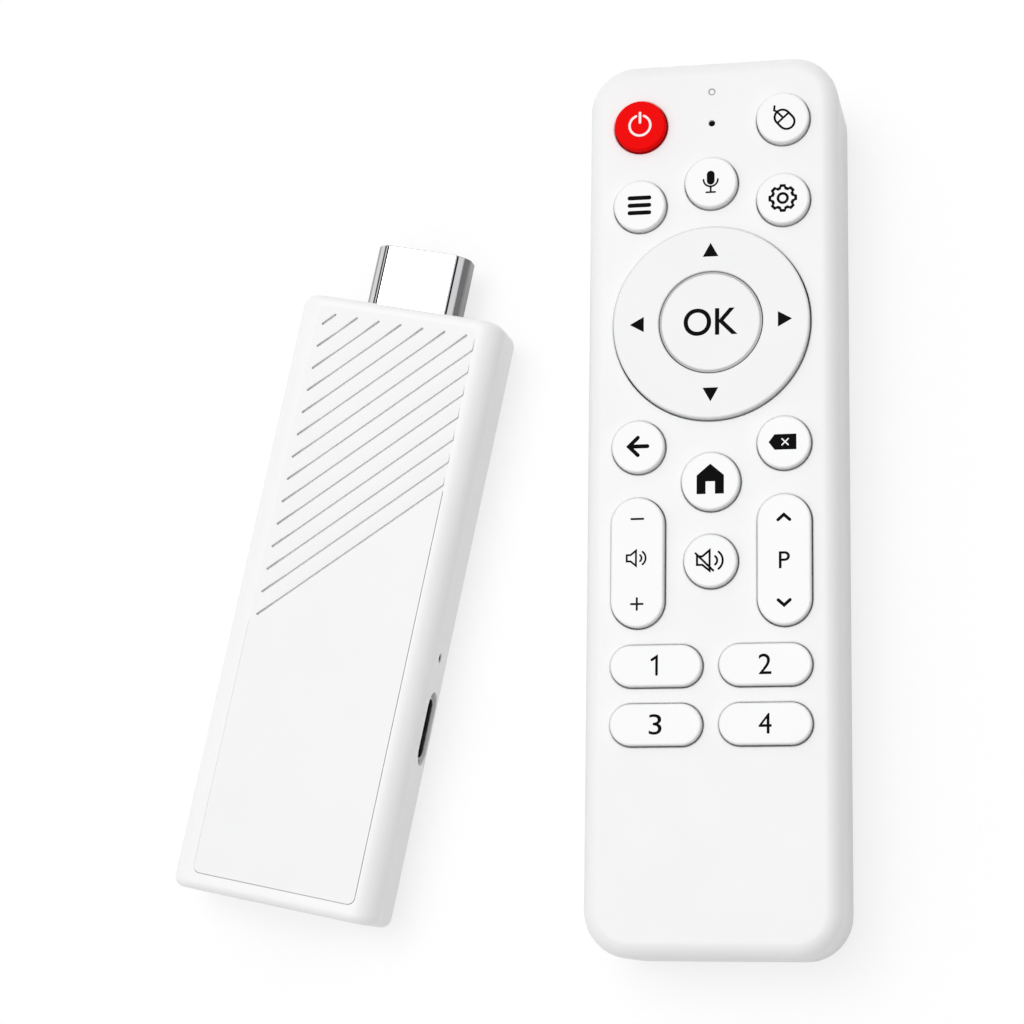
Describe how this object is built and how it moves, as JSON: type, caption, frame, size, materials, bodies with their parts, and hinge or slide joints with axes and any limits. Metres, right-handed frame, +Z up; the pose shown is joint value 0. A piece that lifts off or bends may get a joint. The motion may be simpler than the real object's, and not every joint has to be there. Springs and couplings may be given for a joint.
{
  "type": "streaming stick with remote control",
  "caption": "White television streaming stick with a plug at one end, lying beside its slim white remote control with round keys, a direction ring and two rocker keys.",
  "frame": {"origin": "centre of the underside of the stick's back cover", "axes": "+Z up, out of the faces of both items, which lie flat; +Y along the remote, towards its end with the power key; +X from the stick to the remote"},
  "size_m": [0.0934, 0.1227, 0.0195],
  "materials": {
    "stick_white": "satin",
    "panel_grey_white": "matte",
    "plated_steel": "satin",
    "contact_gold": "satin",
    "black_plastic": "matte",
    "socket_grey": "matte",
    "board_green": "satin",
    "spreader_aluminium": "satin",
    "thermal_grey": "matte",
    "antenna_ceramic": "matte",
    "remote_white": "satin",
    "key_white": "satin",
    "cell_sleeve": "satin",
    "light_pipe": "gloss",
    "infrared_lens": "gloss",
    "mat_silicone": "matte"
  },
  "bodies": {
    "stick": {"stick_housing": "stick_white", "stick_back_cover": "stick_white", "stick_front_panel": "panel_grey_white", "plug_shell": "plated_steel", "plug_insulator": "black_plastic", "plug_contacts": "contact_gold", "usb_socket_shell": "plated_steel", "usb_socket_tongue": "socket_grey", "usb_socket_contacts": "contact_gold", "power_socket_shell": "plated_steel", "power_socket_tongue": "black_plastic", "stick_circuit_board": "board_green", "processor": "black_plastic", "heat_spreader": "spreader_aluminium", "thermal_pad": "thermal_grey", "memory_chips": "black_plastic", "radio_module": "plated_steel", "antenna": "antenna_ceramic", "power_inductors": "black_plastic", "stick_crystal": "plated_steel", "reset_switch": "black_plastic"},
    "reset_button": {"reset_plunger": "socket_grey"},
    "remote": {"remote_top_cover": "remote_white", "remote_bottom_cover": "remote_white", "battery_left": "cell_sleeve", "battery_right": "cell_sleeve", "battery_plates": "plated_steel", "battery_springs": "plated_steel", "remote_circuit_board": "board_green", "board_screw": "plated_steel", "remote_chip": "black_plastic", "remote_crystal": "plated_steel", "microphone": "plated_steel", "status_light": "light_pipe", "infrared_led": "infrared_lens", "keypad_mat": "mat_silicone"},
    "battery_door": {"battery_cover": "remote_white"},
    "power_key": {"power_key": "key_white"},
    "mouse_key": {"mouse_key": "key_white"},
    "voice_key": {"voice_key": "key_white"},
    "menu_key": {"menu_key": "key_white"},
    "settings_key": {"settings_key": "key_white"},
    "back_key": {"back_key": "key_white"},
    "delete_key": {"delete_key": "key_white"},
    "home_key": {"home_key": "key_white"},
    "mute_key": {"mute_key": "key_white"},
    "app_key_1": {"app_key_1": "key_white"},
    "app_key_2": {"app_key_2": "key_white"},
    "app_key_3": {"app_key_3": "key_white"},
    "app_key_4": {"app_key_4": "key_white"},
    "ok_key": {"ok_key": "key_white"},
    "volume_rocker": {"volume_rocker": "key_white"},
    "channel_rocker": {"channel_rocker": "key_white"},
    "pad_boot": {"direction_boot": "mat_silicone"},
    "pad_ring": {"direction_ring": "key_white"}
  },
  "joints": [
    {"name": "reset_press", "type": "slide", "parent": "stick", "child": "reset_button", "axis": [-0.9806, 0.1959, 0], "range_m": [0, 0.00025], "stiffness_N_per_m": 800, "springref_m": -0.0002},
    {"name": "remote_lift", "type": "slide", "parent": "stick", "child": "remote", "axis": [0, 0, 1], "range_m": [0, 0.12]},
    {"name": "battery_door_slide", "type": "slide", "parent": "remote", "child": "battery_door", "axis": [0, -1, 0], "range_m": [0, 0.055]},
    {"name": "power_press", "type": "slide", "parent": "remote", "child": "power_key", "axis": [0, 0, -1], "range_m": [0, 0.0006], "stiffness_N_per_m": 400, "springref_m": -0.0003, "deforming": ["keypad_mat"]},
    {"name": "mouse_press", "type": "slide", "parent": "remote", "child": "mouse_key", "axis": [0, 0, -1], "range_m": [0, 0.0006], "stiffness_N_per_m": 400, "springref_m": -0.0003, "deforming": ["keypad_mat"]},
    {"name": "voice_press", "type": "slide", "parent": "remote", "child": "voice_key", "axis": [0, 0, -1], "range_m": [0, 0.0006], "stiffness_N_per_m": 400, "springref_m": -0.0003, "deforming": ["keypad_mat"]},
    {"name": "menu_press", "type": "slide", "parent": "remote", "child": "menu_key", "axis": [0, 0, -1], "range_m": [0, 0.0006], "stiffness_N_per_m": 400, "springref_m": -0.0003, "deforming": ["keypad_mat"]},
    {"name": "settings_press", "type": "slide", "parent": "remote", "child": "settings_key", "axis": [0, 0, -1], "range_m": [0, 0.0006], "stiffness_N_per_m": 400, "springref_m": -0.0003, "deforming": ["keypad_mat"]},
    {"name": "back_press", "type": "slide", "parent": "remote", "child": "back_key", "axis": [0, 0, -1], "range_m": [0, 0.0006], "stiffness_N_per_m": 400, "springref_m": -0.0003, "deforming": ["keypad_mat"]},
    {"name": "delete_press", "type": "slide", "parent": "remote", "child": "delete_key", "axis": [0, 0, -1], "range_m": [0, 0.0006], "stiffness_N_per_m": 400, "springref_m": -0.0003, "deforming": ["keypad_mat"]},
    {"name": "home_press", "type": "slide", "parent": "remote", "child": "home_key", "axis": [0, 0, -1], "range_m": [0, 0.0006], "stiffness_N_per_m": 400, "springref_m": -0.0003, "deforming": ["keypad_mat"]},
    {"name": "mute_press", "type": "slide", "parent": "remote", "child": "mute_key", "axis": [0, 0, -1], "range_m": [0, 0.0006], "stiffness_N_per_m": 400, "springref_m": -0.0003, "deforming": ["keypad_mat"]},
    {"name": "app_key_1_press", "type": "slide", "parent": "remote", "child": "app_key_1", "axis": [0, 0, -1], "range_m": [0, 0.0006], "stiffness_N_per_m": 400, "springref_m": -0.0003, "deforming": ["keypad_mat"]},
    {"name": "app_key_2_press", "type": "slide", "parent": "remote", "child": "app_key_2", "axis": [0, 0, -1], "range_m": [0, 0.0006], "stiffness_N_per_m": 400, "springref_m": -0.0003, "deforming": ["keypad_mat"]},
    {"name": "app_key_3_press", "type": "slide", "parent": "remote", "child": "app_key_3", "axis": [0, 0, -1], "range_m": [0, 0.0006], "stiffness_N_per_m": 400, "springref_m": -0.0003, "deforming": ["keypad_mat"]},
    {"name": "app_key_4_press", "type": "slide", "parent": "remote", "child": "app_key_4", "axis": [0, 0, -1], "range_m": [0, 0.0006], "stiffness_N_per_m": 400, "springref_m": -0.0003, "deforming": ["keypad_mat"]},
    {"name": "ok_press", "type": "slide", "parent": "remote", "child": "ok_key", "axis": [0, 0, -1], "range_m": [0, 0.0006], "stiffness_N_per_m": 400, "springref_m": -0.0003, "deforming": ["keypad_mat"]},
    {"name": "volume_rock", "type": "hinge", "parent": "remote", "child": "volume_rocker", "pos_m": [0.0436, 0.0032, 0.017], "axis": [1, 0, 0], "range_deg": [-3, 3], "stiffness_Nm_per_rad": 0.012, "deforming": ["keypad_mat"]},
    {"name": "channel_rock", "type": "hinge", "parent": "remote", "child": "channel_rocker", "pos_m": [0.0632, 0.0032, 0.017], "axis": [1, 0, 0], "range_deg": [-3, 3], "stiffness_Nm_per_rad": 0.012, "deforming": ["keypad_mat"]},
    {"name": "pad_rock_up_down", "type": "hinge", "parent": "remote", "child": "pad_boot", "pos_m": [0.0534, 0.0358, 0.017], "axis": [1, 0, 0], "range_deg": [-1.8, 1.8], "stiffness_Nm_per_rad": 0.05, "deforming": ["keypad_mat"]},
    {"name": "pad_rock_left_right", "type": "hinge", "parent": "pad_boot", "child": "pad_ring", "pos_m": [0.0534, 0.0358, 0.017], "axis": [0, 1, 0], "range_deg": [-1.8, 1.8], "stiffness_Nm_per_rad": 0.05, "deforming": ["keypad_mat"]}
  ]
}
